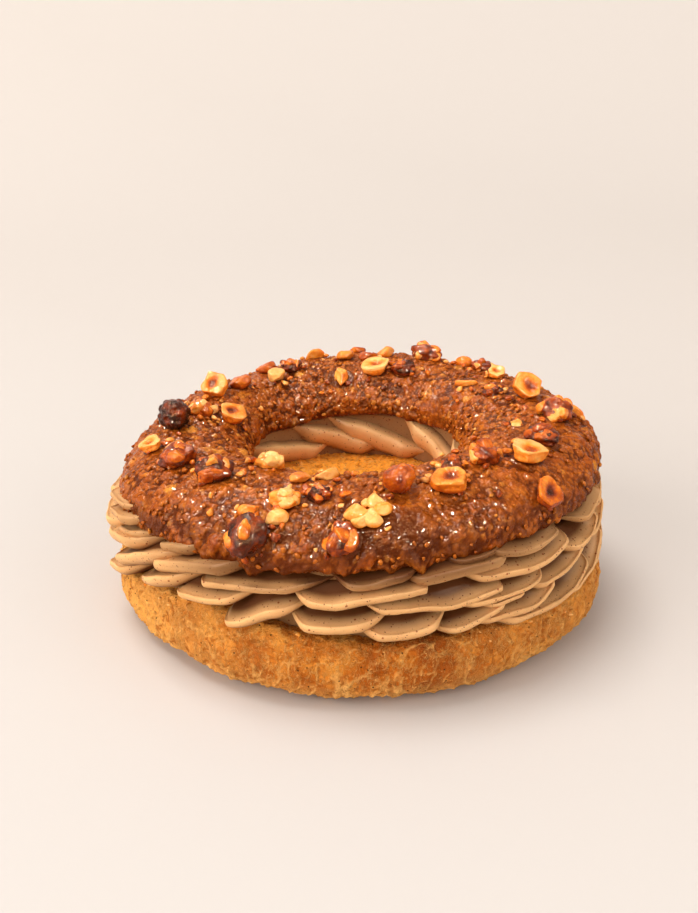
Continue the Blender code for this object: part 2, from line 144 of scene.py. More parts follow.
# Each nut's kind, colour, size, turn about the ring's surface and lean to the front. A kind gives the
# length, width and height as parts of the size.
NUT_SHAPES = {
    "half": (1.00, 0.94, 0.46),
    "whole": (1.00, 0.92, 0.86),
    "chunk": (1.00, 0.80, 0.62),
    "cluster": (1.00, 0.88, 0.66),
    "shard": (1.00, 0.55, 0.30),
    "curl": (1.00, 0.78, 0.42),
}
Nut = namedtuple("Nut", "kind colour size turn lean")
NUTS = (
    Nut("half", "gold", 0.0114, 20, 30), Nut("chunk", "amber", 0.0106, 60, 0),
    Nut("chunk", "amber", 0.0090, 10, 0), Nut("chunk", "pale", 0.0088, 40, 0),
    Nut("cluster", "dark", 0.0098, 70, 0), Nut("chunk", "gold", 0.0090, 20, 0),
    Nut("shard", "gold", 0.0115, 80, 0), Nut("chunk", "gold", 0.0080, 30, 0),
    Nut("chunk", "amber", 0.0070, 15, 0), Nut("chunk", "amber", 0.0078, 50, 0),
    Nut("chunk", "gold", 0.0080, 75, 0), Nut("half", "pale", 0.0118, 5, 0),
    Nut("cluster", "dark", 0.0108, 35, 0), Nut("cluster", "amber", 0.0140, 10, 0),
    Nut("chunk", "gold", 0.0080, 25, 0), Nut("cluster", "amber", 0.0102, 55, 0),
    Nut("shard", "gold", 0.0095, 15, 0), Nut("half", "pale", 0.0078, 0, 20),
    Nut("cluster", "dark", 0.0085, 65, 0), Nut("half", "gold", 0.0120, 0, 40),
    Nut("shard", "pale", 0.0075, 10, 0), Nut("cluster", "amber", 0.0145, 20, 0),
    Nut("chunk", "gold", 0.0076, 45, 0), Nut("cluster", "dark", 0.0130, 40, 0),
    Nut("half", "pale", 0.0124, 5, 0), Nut("cluster", "amber", 0.0127, 30, 0),
    Nut("cluster", "dark", 0.0084, 10, 0), Nut("half", "gold", 0.0123, 10, 0),
    Nut("whole", "amber", 0.0108, 50, 0), Nut("half", "amber", 0.0108, 25, 0),
    Nut("curl", "pale", 0.0142, 20, 0), Nut("cluster", "amber", 0.0116, 60, 0),
    Nut("cluster", "pale", 0.0102, 15, 0), Nut("chunk", "pale", 0.0072, 50, 0),
    Nut("chunk", "gold", 0.0066, 20, 0), Nut("cluster", "dark", 0.0145, 75, 0),
    Nut("cluster", "dark", 0.0092, 0, 0), Nut("chunk", "gold", 0.0070, 30, 0),
    Nut("chunk", "pale", 0.0083, 60, 0), Nut("cluster", "pale", 0.0105, 20, 0),
    Nut("cluster", "dark", 0.0143, 10, 0), Nut("cluster", "amber", 0.0143, 35, 0),
    Nut("whole", "dark", 0.0133, 15, 0), Nut("half", "pale", 0.0088, 0, 0),
    Nut("cluster", "gold", 0.0113, 55, 0), Nut("half", "gold", 0.0113, 5, 0),
)
TOAST = {"pale": 0.14, "gold": 0.30, "amber": 0.50, "dark": 0.64}  # 0 is raw and 1 is burnt
NUT_SINK = 0.0007  # how deep a nut sits in the glaze
NUT_GROWTH = 1.06  # knobs and chips stand this much past a nut's plain solid


# Curves and noise

def around(values, angle):
    """Smoothly through values that stand evenly round the pastry, the first at the front."""
    values = np.asarray(values)
    spot = np.mod(angle, 360.0) / 360.0 * len(values)
    first = np.floor(spot).astype(int)
    t = spot - first
    a, b, c, d = (values[(first + step) % len(values)] for step in (-1, 0, 1, 2))
    return b + 0.5 * t * (c - a + t * (2 * a - 5 * b + 4 * c - d + t * (3 * (b - c) + d - a)))


def along(points, t):
    """Smoothly through a row of points, from the first at 0 to the last at 1."""
    points = np.asarray(points, float)
    points = np.vstack([2 * points[0] - points[1], points, 2 * points[-1] - points[-2]])
    spot = np.clip(t, 0.0, 1.0) * (len(points) - 3)
    first = np.minimum(np.floor(spot).astype(int), len(points) - 4)
    t = (spot - first)[:, None]
    a, b, c, d = (points[first + step] for step in range(4))
    return b + 0.5 * t * (c - a + t * (2 * a - 5 * b + 4 * c - d + t * (3 * (b - c) + d - a)))


def waves(terms, angle):
    """The sum of cosine waves, each with a height, a number of crests round the pastry and a place."""
    return sum(height * np.cos(np.radians(count * (angle - spot))) for height, count, spot in terms)


def blend(start, end, part):
    return start + (end - start) * part


def smooth(low, high, value):
    """0 below low, 1 above high, and smooth between them; it falls if low is above high."""
    part = np.clip((value - low) / (high - low), 0.0, 1.0)
    return part * part * (3.0 - 2.0 * part)


def bell(distance, width):
    return np.exp(-((distance / width) ** 2))


def turn_between(angle, other):
    """The shortest way from one angle to another, in degrees."""
    return np.mod(angle - other + 180.0, 360.0) - 180.0


class Noise:
    """Smooth noise in space, from about -1 to 1, the same on each run."""

    def __init__(self, seed):
        dice = np.random.default_rng(seed)
        self.order = np.tile(dice.permutation(256), 2)
        slopes = dice.normal(size=(256, 3))
        self.slopes = slopes / np.linalg.norm(slopes, axis=1, keepdims=True)
        self.numbers = dice.random((256, 5))

    def shuffle(self, cells):
        """A number from 0 to 255 for each cell of a grid."""
        x, y, z = np.moveaxis(np.mod(cells, 256), -1, 0)
        return self.order[self.order[self.order[x] + y] + z]

    def __call__(self, points, size):
        spots = points / size
        cells = np.floor(spots).astype(int)
        part = spots - cells
        fade = part**3 * (part * (part * 6 - 15) + 10)
        total = np.zeros(points.shape[:-1])
        for corner in itertools.product((0, 1), repeat=3):
            slope = self.slopes[self.shuffle(cells + corner)]
            weight = np.prod(np.where(corner, fade, 1 - fade), axis=-1)
            total += weight * np.sum(slope * (part - corner), axis=-1)
        return 1.7 * total

    def ridges(self, points, size):
        """Thin ridges, 1 on their crests."""
        return 1.0 - np.minimum(np.abs(self(points, size)) * 3.0, 1.0)

    def lumps(self, points, size, fill):
        """Rounded lumps strewn a size apart: their height, from 0 to 1, and a number for each lump."""
        spots = points / size
        cells = np.floor(spots).astype(int)
        height = np.zeros(points.shape[:-1])
        tone = np.full(points.shape[:-1], 0.5)
        for step in itertools.product((-1, 0, 1), repeat=3):
            numbers = self.numbers[self.shuffle(cells + step)]
            centre = cells + step + numbers[..., :3]
            reach = 0.35 + 0.40 * numbers[..., 3]
            far = np.linalg.norm(spots - centre, axis=-1) / reach
            rise = np.sqrt(np.clip(1.0 - far**2, 0.0, None)) * (0.4 + 0.6 * numbers[..., 3])
            rise = np.where(numbers[..., 4] < fill, rise, 0.0)
            tone = np.where(rise > height, np.mod(numbers[..., 4] * 7.3, 1.0), tone)
            height = np.maximum(height, rise)
        return height, tone


# Forms of the pastry

def power_curve(turn, power):
    """Across and up, -1 to 1, at a turn round a superellipse."""
    across = np.cos(turn)
    up = np.sin(turn)
    return (
        np.copysign(np.abs(across) ** (2.0 / power), across),
        np.copysign(np.abs(up) ** (2.0 / power), up),
    )


def place(angle, radius, height):
    turn = np.radians(angle)
    x, y, z = np.broadcast_arrays(radius * np.sin(turn), -radius * np.cos(turn), height)
    return np.stack([x, y, z], axis=-1)


def base_top(angle, radius):
    """Height of the base's upper face, which climbs from the rim to the domed middle."""
    inward = (BASE_RIM_RADIUS - radius) / (BASE_RIM_RADIUS - BASE_MIDDLE_RADIUS)
    return blend(around(BASE_RIM_HEIGHTS, angle), BASE_MIDDLE_HEIGHT, smooth(0.0, 1.0, inward))


def base_side(angle, turn):
    """Radius and height on the base's side, from -90 at its foot over 0 at its widest to 90 at its rim."""
    foot = around(BASE_FOOT_RADII, angle)
    widest = around(BASE_WIDEST_RADII, angle) + waves(BASE_RADIUS_WAVES, angle)
    across, up = power_curve(np.radians(turn), BASE_SIDE_POWER)
    inner = np.where(up < 0, foot, BASE_RIM_RADIUS)
    upper = blend(BASE_WIDEST_HEIGHT, around(BASE_RIM_HEIGHTS, angle), up)
    return blend(inner, widest, across), np.where(up < 0, BASE_WIDEST_HEIGHT * (1 + up), upper)


def ring_width(angle):
    """The radius of the section's middle, and half its width."""
    outer = around(RING_OUTER_RADII, angle)
    inner = around(RING_HOLE_RADII, angle)
    return (outer + inner) / 2, (outer - inner) / 2


def ring_lift(angle, radius):
    """How much the ring stands above its level middle height, as it lies a little askew."""
    turn = np.radians(angle)
    askew = RING_RISE_TO_RIGHT * np.sin(turn) - RING_RISE_TO_BACK * np.cos(turn)
    return radius * askew + waves(RING_HEIGHT_WAVES, angle)


def ring_skin(angle, over):
    """A point on the ring's skin; over is 0 outside, 90 on the crest, 180 in the hole, 270 underneath."""
    turn = np.radians(over)
    dome = np.sin(turn) >= 0
    dome_across, dome_up = power_curve(turn, RING_DOME_POWER)
    belly_across, belly_up = power_curve(turn, RING_BELLY_POWER)
    middle, half_width = ring_width(angle)
    radius = middle + half_width * np.where(dome, dome_across, belly_across)
    height = RING_MIDDLE_HEIGHT + np.where(dome, RING_DOME * dome_up, RING_BELLY * belly_up)
    return place(angle, radius, height + ring_lift(angle, radius))


def ring_underside(angle, radius):
    middle, half_width = ring_width(angle)
    across = np.clip(np.abs(radius - middle) / half_width, 0.0, 1.0)
    up = (1.0 - across**RING_BELLY_POWER) ** (1.0 / RING_BELLY_POWER)
    return RING_MIDDLE_HEIGHT - RING_BELLY * up + ring_lift(angle, radius)


def ring_axes(angle, over):
    """Unit vectors on the ring's skin: round the pastry, up the slope and out of the skin, as rows."""
    round_it = unit(ring_skin(angle + 1.0, over) - ring_skin(angle - 1.0, over))
    over_it = unit(ring_skin(angle, over + 1.0) - ring_skin(angle, over - 1.0))
    normal = unit(np.cross(round_it, over_it))
    return np.stack([round_it, np.cross(normal, round_it), normal], axis=-2)


def ring_spot(points):
    """The angle and the angle over the ring's section of points on or near its dome."""
    x, y, z = np.moveaxis(np.asarray(points), -1, 0)
    angle = np.degrees(np.arctan2(x, -y))
    radius = np.hypot(x, y)
    middle, half_width = ring_width(angle)
    across = (radius - middle) / half_width
    up = np.clip((z - RING_MIDDLE_HEIGHT - ring_lift(angle, radius)) / RING_DOME, 0.0, None)
    half = RING_DOME_POWER / 2
    return angle, np.degrees(np.arctan2(up**half, np.copysign(np.abs(across) ** half, across)))


def unit(vectors):
    return vectors / np.maximum(np.linalg.norm(vectors, axis=-1, keepdims=True), 1e-12)


# Meshes

def grid_faces(rows, columns, closed):
    """Quads of a grid that closes over its rows and, if closed, over its columns too."""
    row, column = np.meshgrid(np.arange(rows), np.arange(columns - (not closed)), indexing="ij")
    after_row = (row + 1) % rows
    after = (column + 1) % columns
    corners = (row * columns + column, after_row * columns + column,
               after_row * columns + after, row * columns + after)
    return np.stack(corners, axis=-1).reshape(-1, 4)


def grid_normals(points, closed):
    """Normals of a grid of points whose rows close round."""
    round_it = np.roll(points, -1, axis=0) - np.roll(points, 1, axis=0)
    if closed:
        along_it = np.roll(points, -1, axis=1) - np.roll(points, 1, axis=1)
    else:
        along_it = np.gradient(points, axis=1)
    return unit(np.cross(round_it, along_it))


def add_piece(name, points, faces, finish, replaces=(), marks=None):
    """A smooth mesh object that rides on the pastry, with a number for each vertex under each mark."""
    mesh = bpy.data.meshes.new(name)
    mesh.from_pydata(points.reshape(-1, 3).tolist(), [], [face.tolist() for face in faces])
    shape = bmesh.new()
    shape.from_mesh(mesh)
    if shape.calc_volume(signed=True) < 0:
        bmesh.ops.reverse_faces(shape, faces=shape.faces)
        shape.to_mesh(mesh)
    shape.free()
    mesh.shade_smooth()
    mesh.materials.append(finish)
    for mark, numbers in (marks or {}).items():
        layer = mesh.attributes.new(mark, "FLOAT", "POINT")
        layer.data.foreach_set("value", np.asarray(numbers, np.float32).ravel())
    piece = bpy.data.objects.new(name, mesh)
    bpy.context.scene.collection.objects.link(piece)
    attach(piece, "root")
    if replaces:
        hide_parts(*replaces)
    return piece


def joined(parts):
    """One list of points, faces and marks from several bodies of (points, faces, marks)."""
    points, faces = [], []
    start = 0
    for body_points, body_faces, _ in parts:
        points.append(body_points)
        faces.extend(face + start for face in body_faces)
        start += len(body_points)
    marks = {mark: np.concatenate([part[2][mark] for part in parts]) for mark in parts[0][2]}
    return np.concatenate(points), faces, marks


def icosphere(subdivisions):
    """The unit directions and the triangles of a ball."""
    shape = bmesh.new()
    bmesh.ops.create_icosphere(shape, subdivisions=subdivisions, radius=1.0)
    points = np.array([vertex.co for vertex in shape.verts])
    faces = np.array([[vertex.index for vertex in face.verts] for face in shape.faces])
    shape.free()
    return unit(points), faces


def even_steps(curve, weights, count):
    """Where to put count points on a closed dense curve, evenly by weighted length, as parts of it."""
    lengths = np.linalg.norm(np.diff(curve, axis=0), axis=1) * weights
    total = np.concatenate([[0.0], np.cumsum(lengths)])
    return np.interp(np.arange(count) / count * total[-1], total, np.linspace(0.0, 1.0, len(total)))


# Materials

WARM = (1.0, 0.60, 0.34, 1.0)  # what a glaze of caramel makes of white reflections


class Finish:
    """A material whose colour, roughness and relief come from nodes."""

    def __init__(self, name, **values):
        self.material = bpy.data.materials.new(name)
        self.material.use_nodes = True
        self.nodes = self.material.node_tree.nodes
        self.links = self.material.node_tree.links
        self.shader = self.nodes["Principled BSDF"]
        self.where = self.nodes.new("ShaderNodeTexCoord").outputs["Object"]
        for socket, value in values.items():
            self.shader.inputs[socket.replace("_", " ")].default_value = value

    def set(self, socket, value):
        if isinstance(value, bpy.types.NodeSocket):
            self.links.new(value, socket)
        else:
            socket.default_value = value

    def node(self, kind, settings=None, output=0, **inputs):
        """A new node with its settings and its inputs, by name or, as in_0, by place."""
        node = self.nodes.new(kind)
        for setting, value in (settings or {}).items():
            setattr(node, setting, value)
        for name, value in inputs.items():
            socket = node.inputs[int(name[3:])] if name.startswith("in_") else node.inputs[name]
            self.set(socket, value)
        return node.outputs[output]

    def stretched(self, scale):
        return self.node("ShaderNodeMapping", Vector=self.where, Scale=scale)

    def noise(self, size, detail=3.0, roughness=0.55, distortion=0.0, where=None):
        return self.node("ShaderNodeTexNoise", Vector=where or self.where, Scale=1.0 / size,
                         Detail=detail, Roughness=roughness, Distortion=distortion)

    def cells(self, size, feature="F1", where=None, output=0, randomness=1.0):
        return self.node("ShaderNodeTexVoronoi", {"feature": feature}, output=output,
                         Vector=where or self.where, Scale=1.0 / size, Randomness=randomness)

    def mark(self, name):
        return self.node("ShaderNodeAttribute", {"attribute_name": name}, output=2)

    def ramp(self, value, *stops):
        """A colour or, of single numbers, a grey, read from (place, colour) stops."""
        node = self.nodes.new("ShaderNodeValToRGB")
        elements = node.color_ramp.elements
        while len(elements) < len(stops):
            elements.new(0.5)
        for element, (spot, colour) in zip(elements, stops):
            element.position = spot
            element.color = (*colour, 1.0) if isinstance(colour, tuple) else (colour, colour, colour, 1.0)
        self.links.new(value, node.inputs[0])
        return node.outputs[0]

    def mix(self, first, second, part, way="MIX"):
        node = self.nodes.new("ShaderNodeMix")
        node.data_type = "RGBA"
        node.blend_type = way
        node.clamp_factor = True
        self.set(node.inputs[0], part)
        for socket, value in ((node.inputs[6], first), (node.inputs[7], second)):
            self.set(socket, (*value, 1.0) if isinstance(value, tuple) else value)
        return node.outputs[2]

    def sum(self, *terms):
        """The sum of (socket, weight) terms."""
        total = None
        for value, weight in terms:
            settings = {"operation": "MULTIPLY_ADD"}
            total = self.node("ShaderNodeMath", settings, in_0=value, in_1=weight, in_2=total or 0.0)
        return total

    def relief(self, distance, *terms):
        """Bumps of the summed terms; distance is their height in metres."""
        bump = self.node("ShaderNodeBump", Height=self.sum(*terms), Distance=distance, Strength=1.0)
        self.links.new(bump, self.shader.inputs["Normal"])

    def done(self, colour, roughness):
        self.links.new(colour, self.shader.inputs["Base Color"])
        self.set(self.shader.inputs["Roughness"], roughness)
        return self.material


def choux_finish():
    """Golden baked choux: mottled and wrinkled, with pale fibres, toasted freckles and small dark pores, and
    painted light on its sides and top.
    """
    finish = Finish("choux", Specular_IOR_Level=0.02, Specular_Tint=WARM)
    mottle = finish.noise(0.016, detail=5.0, roughness=0.62)
    golden = finish.ramp(mottle, (0.36, (0.72, 0.255, 0.036)), (0.46, (0.54, 0.140, 0.012)),
                         (0.55, (0.40, 0.080, 0.005)), (0.66, (0.26, 0.038, 0.002)))
    # Painted light: paler on the left side and on the front right, where the side lamps fall (the "pale" mark).
    golden = finish.mix(golden, (1.0, 0.46, 0.100), finish.mark("pale"))
    # The top of the base in the hole: golden crust, plus painted light that makes it brighter than the rest.
    height = finish.node("ShaderNodeSeparateXYZ", output=2, Vector=finish.where)
    golden = finish.mix(golden, (1.0, 0.35, 0.032), finish.ramp(height, (0.0315, 0.0), (0.0345, 0.95)))
    golden = finish.mix(golden, (1.0, 0.52, 0.14), finish.ramp(height, (0.002, 0.75), (0.010, 0.0)))
    patch = finish.noise(0.0045, detail=3.0, roughness=0.6)
    golden = finish.mix(golden, (0.95, 0.42, 0.085), finish.ramp(patch, (0.54, 0.0), (0.72, 0.50)))
    fine = finish.noise(0.0016, detail=4.0, roughness=0.7)
    golden = finish.mix(golden, (0.38, 0.075, 0.005), finish.ramp(fine, (0.54, 0.0), (0.70, 0.60)))
    golden = finish.mix(golden, (0.96, 0.50, 0.14), finish.ramp(finish.mark("crease"), (0.20, 0.0), (0.90, 0.75)))
    upright = finish.noise(0.0016, detail=2.0, distortion=1.2, where=finish.stretched((1.0, 1.0, 0.28)))
    crossing = finish.noise(0.0019, detail=2.0, distortion=2.2, where=finish.stretched((0.7, 0.7, 0.9)))
    threads = finish.sum((finish.ramp(upright, (0.49, 0.0), (0.52, 0.95), (0.55, 0.0)), 1.0),
                         (finish.ramp(crossing, (0.465, 0.0), (0.485, 0.95), (0.505, 0.0)), 1.0))
    threads = finish.sum((threads, finish.ramp(patch, (0.38, 0.25), (0.54, 1.0))))
    golden = finish.mix(golden, (0.90, 0.47, 0.14), threads)
    wrinkle = finish.noise(0.0030, detail=3.0, roughness=0.60, distortion=0.8)
    golden = finish.mix(golden, (0.40, 0.085, 0.006), finish.ramp(wrinkle, (0.36, 0.70), (0.46, 0.0)))
    pore = finish.ramp(finish.cells(0.0032), (0.07, 1.0), (0.11, 0.0))
    golden = finish.mix(golden, (0.09, 0.022, 0.006), pore)
    finish.relief(0.0009, (wrinkle, 1.5), (fine, 0.25), (threads, 0.35), (pore, -0.5), (patch, 0.5))
    return finish.done(golden, finish.ramp(fine, (0.3, 0.50), (0.7, 0.68)))


def cream_finish():
    """Satin praline cream with specks of ground nut skin."""
    finish = Finish("cream", Specular_IOR_Level=0.07, Subsurface_Weight=0.10, Subsurface_Scale=0.002)
    finish.shader.inputs["Subsurface Radius"].default_value = (1.0, 0.55, 0.25)
    cloud = finish.noise(0.012, detail=3.0)
    colour = finish.ramp(cloud, (0.3, (0.67, 0.345, 0.132)), (0.7, (0.76, 0.415, 0.168)))
    dust = finish.ramp(finish.cells(0.0011), (0.13, 0.45), (0.20, 0.0))
    colour = finish.mix(colour, (0.36, 0.125, 0.032), dust)
    speck = finish.ramp(finish.cells(0.0017), (0.11, 1.0), (0.16, 0.0))
    flake = finish.ramp(finish.cells(0.0034), (0.09, 0.9), (0.13, 0.0))
    colour = finish.mix(colour, (0.13, 0.032, 0.009), speck)
    colour = finish.mix(colour, (0.30, 0.060, 0.012), flake)
    # Painted shade: darker under the fins' lips, on the body between them and in the ring's painted shadow.
    colour = finish.mix(colour, (0.090, 0.020, 0.003), finish.ramp(finish.mark("shade"), (0.04, 0.0), (0.85, 0.95)))
    finish.relief(0.00012, (finish.noise(0.0025, detail=4.0), 1.0), (speck, 0.5), (flake, 0.8))
    return finish.done(colour, finish.ramp(cloud, (0.3, 0.44), (0.7, 0.54)))


def glaze_finish():
    """Milk chocolate and caramel over chopped nuts, wet all over, with painted shade in its crevices, low on its
    slopes and in front.
    """
    finish = Finish("nut_crust", Specular_IOR_Level=0.06, Specular_Tint=WARM, Coat_Roughness=0.06)
    cloud = finish.noise(0.012, detail=4.0)
    chocolate = finish.ramp(cloud, (0.30, (0.22, 0.040, 0.003)), (0.50, (0.32, 0.070, 0.006)),
                            (0.70, (0.43, 0.112, 0.012)))
    amber = finish.ramp(finish.mark("tone"), (0.0, (0.30, 0.052, 0.003)), (0.5, (0.42, 0.090, 0.006)),
                        (0.9, (0.56, 0.150, 0.012)), (1.0, (0.80, 0.300, 0.040)))
    grain = finish.mark("grain")
    colour = finish.mix(chocolate, amber, finish.ramp(grain, (0.10, 0.0), (0.65, 0.80)))
    # Painted shade: darker where the grains are low, in the crevices between them.
    colour = finish.mix(colour, (0.075, 0.012, 0.002), finish.ramp(grain, (0.0, 0.90), (0.32, 0.0)))
    fine = finish.noise(0.0010, detail=3.0, roughness=0.6)
    bubbles = finish.cells(0.0012, "SMOOTH_F1")
    # Painted shade in the small hollows between the glaze's bubbles.
    colour = finish.mix(colour, (0.13, 0.022, 0.003), finish.ramp(bubbles, (0.36, 0.0), (0.70, 0.65)))
    # Dark caramel pools round the nuts, and painted shade low on the ring and on its front.
    colour = finish.mix(colour, (0.085, 0.015, 0.002), finish.ramp(finish.mark("pool_and_shade"), (0.20, 0.0), (0.85, 0.86)))
    finish.set(finish.shader.inputs["Coat Weight"], finish.ramp(grain, (0.05, 0.05), (0.45, 0.19)))
    finish.relief(0.0009, (fine, 0.20), (bubbles, -0.60), (finish.noise(0.0028), 0.4))
    return finish.done(colour, finish.ramp(fine, (0.35, 0.16), (0.65, 0.36)))


def nut_finish(name, coat):
    """Roasted hazelnut in caramel, from pale flesh over amber to burnt, by each vertex's toast."""
    finish = Finish(name, Specular_IOR_Level=0.10, Specular_Tint=WARM, Coat_Weight=coat,
                    Coat_Roughness=0.07, Subsurface_Weight=0.12, Subsurface_Scale=0.0015)
    finish.shader.inputs["Subsurface Radius"].default_value = (1.0, 0.40, 0.10)
    blotch = finish.noise(0.0032, detail=4.0, roughness=0.6)
    fleck = finish.noise(0.0008, detail=2.0)
    toast = finish.sum((finish.mark("toast"), 1.0), (blotch, 0.44), (fleck, 0.14), (1.0, -0.29))
    colour = finish.ramp(toast, (0.06, (0.88, 0.43, 0.125)), (0.22, (0.84, 0.30, 0.042)),
                         (0.38, (0.74, 0.180, 0.011)), (0.52, (0.50, 0.088, 0.005)),
                         (0.68, (0.27, 0.036, 0.004)), (0.82, (0.105, 0.014, 0.003)),
                         (0.96, (0.030, 0.007, 0.003)))
    fine = finish.noise(0.0008, detail=3.0, roughness=0.65)
    finish.relief(0.00028, (fine, 0.7), (blotch, 0.9))
    return finish.done(colour, finish.ramp(fine, (0.3, 0.14), (0.7, 0.34)))


# Base

BASE_ROUND = 840
BASE_SIDE_STEPS = 66


def base_profile(angles):
    """Grid of points from the foot's middle over the side and the top to the top's middle."""
    floor = [place(angles, radius, 0.0) for radius in (0.030, 0.060, 0.072)]
    sides = []
    for turn in np.linspace(-90.0, 90.0, BASE_SIDE_STEPS):
        sides.append(place(angles, *base_side(angles, turn)))
    hidden = [place(angles, radius, base_top(angles, radius)) for radius in (0.086, 0.078, 0.068, 0.058, 0.050)]
    shown = [place(angles, radius, base_top(angles, radius)) for radius in np.linspace(0.046, 0.004, 20)]
    return np.stack(floor + sides + hidden + shown, axis=1)


def base_relief(points):
    """How far the baked skin stands out, and how strongly each spot lies on a pale crease."""
    noise = Noise(3)
    angle = np.arctan2(points[..., 0], -points[..., 1])
    drawn = np.stack([angle * 0.09, points[..., 2] * 0.45, np.zeros(angle.shape)], axis=-1)
    bulge = 0.0006 * noise(points, 0.024) + 0.0007 * noise(points, 0.010) + 0.0005 * noise(points, 0.0045)
    low = smooth(0.026, 0.004, points[..., 2])
    crease = smooth(0.65, 1.0, noise.ridges(drawn, 0.0060)) * (0.25 + 0.75 * low)
    bent = points + 0.0016 * np.stack([noise(points + 0.1 * k, 0.005) for k in range(3)], axis=-1)
    crease = np.maximum(crease, 0.7 * smooth(0.66, 1.0, noise.ridges(bent + 0.4, 0.0058)))
    pit = noise.lumps(points, 0.0050, 0.35)[0]
    grain = noise(points, 0.0016)
    return bulge + 0.00065 * crease - 0.0008 * pit**2 + 0.00042 * grain, crease


def make_base(finish):
    angles = np.arange(BASE_ROUND) * 360.0 / BASE_ROUND
    points = base_profile(angles)
    lift, crease = base_relief(points)
    normals = grid_normals(points, closed=False)
    outward = np.sign(np.sum(normals[:, 40] * points[:, 40] * (1, 1, 0)))
    free = smooth(0.0, 0.0015, points[..., 2])
    points = points + outward * normals * (lift * free)[..., None]
    points[..., 2] = np.maximum(points[..., 2], 0.0)
    rows, columns = points.shape[:2]
    faces = list(grid_faces(rows, columns, closed=False))
    last = rows * columns
    for row in range(rows):
        after = (row + 1) % rows
        faces.append(np.array([after * columns, row * columns, last]))
        faces.append(np.array([row * columns + columns - 1, after * columns + columns - 1, last + 1]))
    ends = np.array([[0.0, 0.0, 0.0], [0.0, 0.0, BASE_MIDDLE_HEIGHT]])
    # Painted light: the sides that face the left and right lamps are painted paler.
    pale = 0.8 * bell(turn_between(angles, -72.0), 40.0) + 0.35 * bell(turn_between(angles, 52.0), 26.0)
    marks = {"crease": np.append(crease.ravel(), [0.0, 0.0]),
             "pale": np.append(np.repeat(pale, columns), [0.0, 0.0])}
    all_points = np.concatenate([points.reshape(-1, 3), ends])
    return add_piece("base_crust", all_points, faces, finish, ["base"], marks)


# Ring

RING_ROUND = 840
RING_COLUMNS = 118


def ring_overs():
    """Angles over the section, close together on the dome and further apart underneath."""
    over = np.linspace(-20.0, 340.0, 721)
    curve = ring_skin(0.0, over)
    middle = (over[1:] + over[:-1]) / 2
    weights = np.where((middle > -12.0) & (middle < 192.0), 1.0, 0.22)
    return -20.0 + 360.0 * even_steps(curve, weights, RING_COLUMNS)


def near_nuts(points, reach):
    """1 close to a nut, falling to 0 past a reach beyond its edge."""
    close = np.zeros(points.shape[:-1])
    for number, nut in enumerate(NUTS, start=1):
        low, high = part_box(f"nut_{number:02d}")
        centre = (np.array(low) + np.array(high)) / 2
        far = np.linalg.norm(points - centre, axis=-1) - nut.size / 2
        close = np.maximum(close, smooth(reach, 0.0, far))
    return close


def drip_drop(angle):
    """How far the glaze hangs below the ring's lower edge."""
    drop = sum(fall * bell(turn_between(angle, spot), width) for spot, fall, width in DRIPS)
    ragged = Noise(12)(place(angle, 0.093, 0.0), 0.0065)
    return drop + 0.0014 * np.clip(ragged + 0.25, 0.0, 1.0)


def ring_relief(points):
    """How far the glaze stands out, how much nut shows, each nut's tone, and where caramel pools."""
    noise = Noise(21)
    warped = points + 0.0007 * np.stack([noise(points + 0.1 * k, 0.0028) for k in range(3)], axis=-1)
    swell = 0.0006 * noise(points, 0.015) + 0.0004 * noise(points, 0.006)
    large, large_tone = noise.lumps(warped, 0.0042, 0.55)
    small, small_tone = noise.lumps(warped + 0.31, 0.0020, 0.92)
    near = near_nuts(points, 0.0028)
    calm = np.clip(0.02 + 0.7 * near + 1.0 * noise(points + 0.5, 0.022), 0.0, 0.80)
    rough = 1.0 - calm
    grain = np.maximum(large, 0.85 * small)
    tone = np.where(large > 0.85 * small, large_tone, small_tone)
    fine = noise(points, 0.0012)
    rise = swell + (0.0012 * large**1.5 + 0.0010 * small + 0.00018 * fine - 0.0006) * rough
    rise += 0.0005 * near_nuts(points, 0.0014)
    return rise, blend(0.34, grain, rough), tone, near_nuts(points, 0.0010)


def make_ring(finish):
    angles = np.arange(RING_ROUND) * 360.0 / RING_ROUND
    overs = ring_overs()
    angle, over = np.meshgrid(angles, overs, indexing="ij")
    points = ring_skin(angle, over)
    normals = grid_normals(points, closed=True)
    crest = int(np.argmin(np.abs(overs - 90.0)))
    normals *= np.sign(normals[0, crest, 2])
    rise, grain, tone, pool_and_shade = ring_relief(points)
    front = bell(turn_between(angle, 4.0), 44.0)
    low = smooth(50.0, -5.0, over) + smooth(150.0, 200.0, over)
    rise = rise + 0.0006 * low * Noise(4).lumps(points, 0.0034, 0.6)[0]
    # Painted shade: the glaze low on the ring's slopes and on its front is darkened through the caramel pools'
    # mark.
    low = np.maximum(low, front * smooth(80.0, 40.0, over))
    pool_and_shade = np.maximum(pool_and_shade, low * (0.62 + 0.75 * Noise(6)(points, 0.007)))
    below = smooth(186.0, 200.0, over) * smooth(345.0, 335.0, over) + smooth(-5.0, -20.0, over)
    edge = bell(turn_between(over, -8.0), 13.0)
    points = points + normals * (rise * (1.0 - 0.6 * np.clip(below, 0.0, 1.0)))[..., None]
    points[..., 2] -= drip_drop(angle) * edge
    faces = grid_faces(RING_ROUND, RING_COLUMNS, closed=True)
    marks = {"grain": grain, "tone": tone, "pool_and_shade": pool_and_shade}
    return add_piece("ring_crust", points, faces, finish, ["ring"], marks)


GRIT_COUNT = 1200
GRIT_SIZES = (0.0007, 0.0016)


